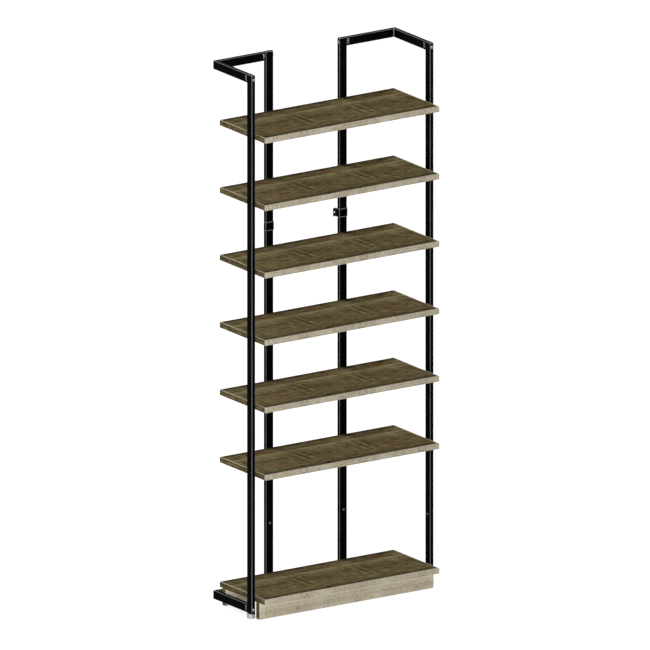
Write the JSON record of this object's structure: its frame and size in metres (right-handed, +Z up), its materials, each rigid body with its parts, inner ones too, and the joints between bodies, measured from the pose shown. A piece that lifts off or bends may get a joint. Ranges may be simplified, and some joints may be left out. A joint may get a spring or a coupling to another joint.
{
  "type": "open shelving unit",
  "caption": "Tall open shelving unit: thick boards bolted between two black tube frames that wrap the rear corners, on a plinth and levelling feet, with straps for wall screws.",
  "frame": {"origin": "on the floor, in the middle of the unit's footprint", "axes": "+X along the shelves to the right as seen from the front, +Y from the front to the wall, +Z up"},
  "size_m": [0.796, 0.316, 2.015],
  "materials": {
    "tube_black": "satin black powder coat",
    "zinc_steel": "bright zinc plate",
    "cast_zinc": "dull cast metal",
    "cap_plastic": "fine-grained moulded black plastic",
    "foot_grey": "light grey moulded plastic",
    "shelf_oak": "dark weathered oak surface, matt",
    "front_oak": "pale washed oak surface, matt",
    "edge_oak": "brown oak edge band, matt",
    "beech": "plain beech"
  },
  "bodies": {
    "frame": {"post_front_left": "tube_black", "post_rear_left": "tube_black", "post_front_right": "tube_black", "post_rear_right": "tube_black", "rail_side_top_left": "tube_black", "rail_side_top_right": "tube_black", "rail_side_bottom_left": "tube_black", "rail_side_bottom_right": "tube_black", "rail_back_top_left": "tube_black", "rail_back_top_right": "tube_black", "rail_back_bottom_left": "tube_black", "rail_back_bottom_right": "tube_black", "cross_nuts": "zinc_steel", "frame_bolts": "zinc_steel", "post_caps": "cap_plastic", "foot_inserts": "cap_plastic", "shelf_1": "shelf_oak", "shelf_2": "shelf_oak", "shelf_3": "shelf_oak", "shelf_4": "shelf_oak", "shelf_5": "shelf_oak", "shelf_6": "shelf_oak", "shelf_7": "shelf_oak", "front_band_1": "front_oak", "front_band_2": "front_oak", "front_band_3": "front_oak", "front_band_4": "front_oak", "front_band_5": "front_oak", "front_band_6": "front_oak", "front_band_7": "front_oak", "edge_bands_1": "edge_oak", "edge_bands_2": "edge_oak", "edge_bands_3": "edge_oak", "edge_bands_4": "edge_oak", "edge_bands_5": "edge_oak", "edge_bands_6": "edge_oak", "edge_bands_7": "edge_oak", "rivet_nuts": "zinc_steel", "connecting_bolts": "zinc_steel", "cams": "cast_zinc", "plinth_front": "front_oak", "plinth_back": "front_oak", "plinth_end_bands": "edge_oak", "plinth_dowels": "beech", "plinth_angles": "zinc_steel", "plinth_screws": "zinc_steel", "wall_bracket_left": "tube_black", "wall_bracket_right": "tube_black"},
    "foot_front_left": {"foot_front_left": "foot_grey", "stud_front_left": "zinc_steel"},
    "foot_rear_left": {"foot_rear_left": "foot_grey", "stud_rear_left": "zinc_steel"},
    "foot_front_right": {"foot_front_right": "foot_grey", "stud_front_right": "zinc_steel"},
    "foot_rear_right": {"foot_rear_right": "foot_grey", "stud_rear_right": "zinc_steel"}
  },
  "joints": [
    {"name": "foot_front_left_screw", "type": "slide", "parent": "frame", "child": "foot_front_left", "axis": [0, 0, -1], "range_m": [0, 0.005]},
    {"name": "foot_rear_left_screw", "type": "slide", "parent": "frame", "child": "foot_rear_left", "axis": [0, 0, -1], "range_m": [0, 0.005]},
    {"name": "foot_front_right_screw", "type": "slide", "parent": "frame", "child": "foot_front_right", "axis": [0, 0, -1], "range_m": [0, 0.005]},
    {"name": "foot_rear_right_screw", "type": "slide", "parent": "frame", "child": "foot_rear_right", "axis": [0, 0, -1], "range_m": [0, 0.005]}
  ]
}
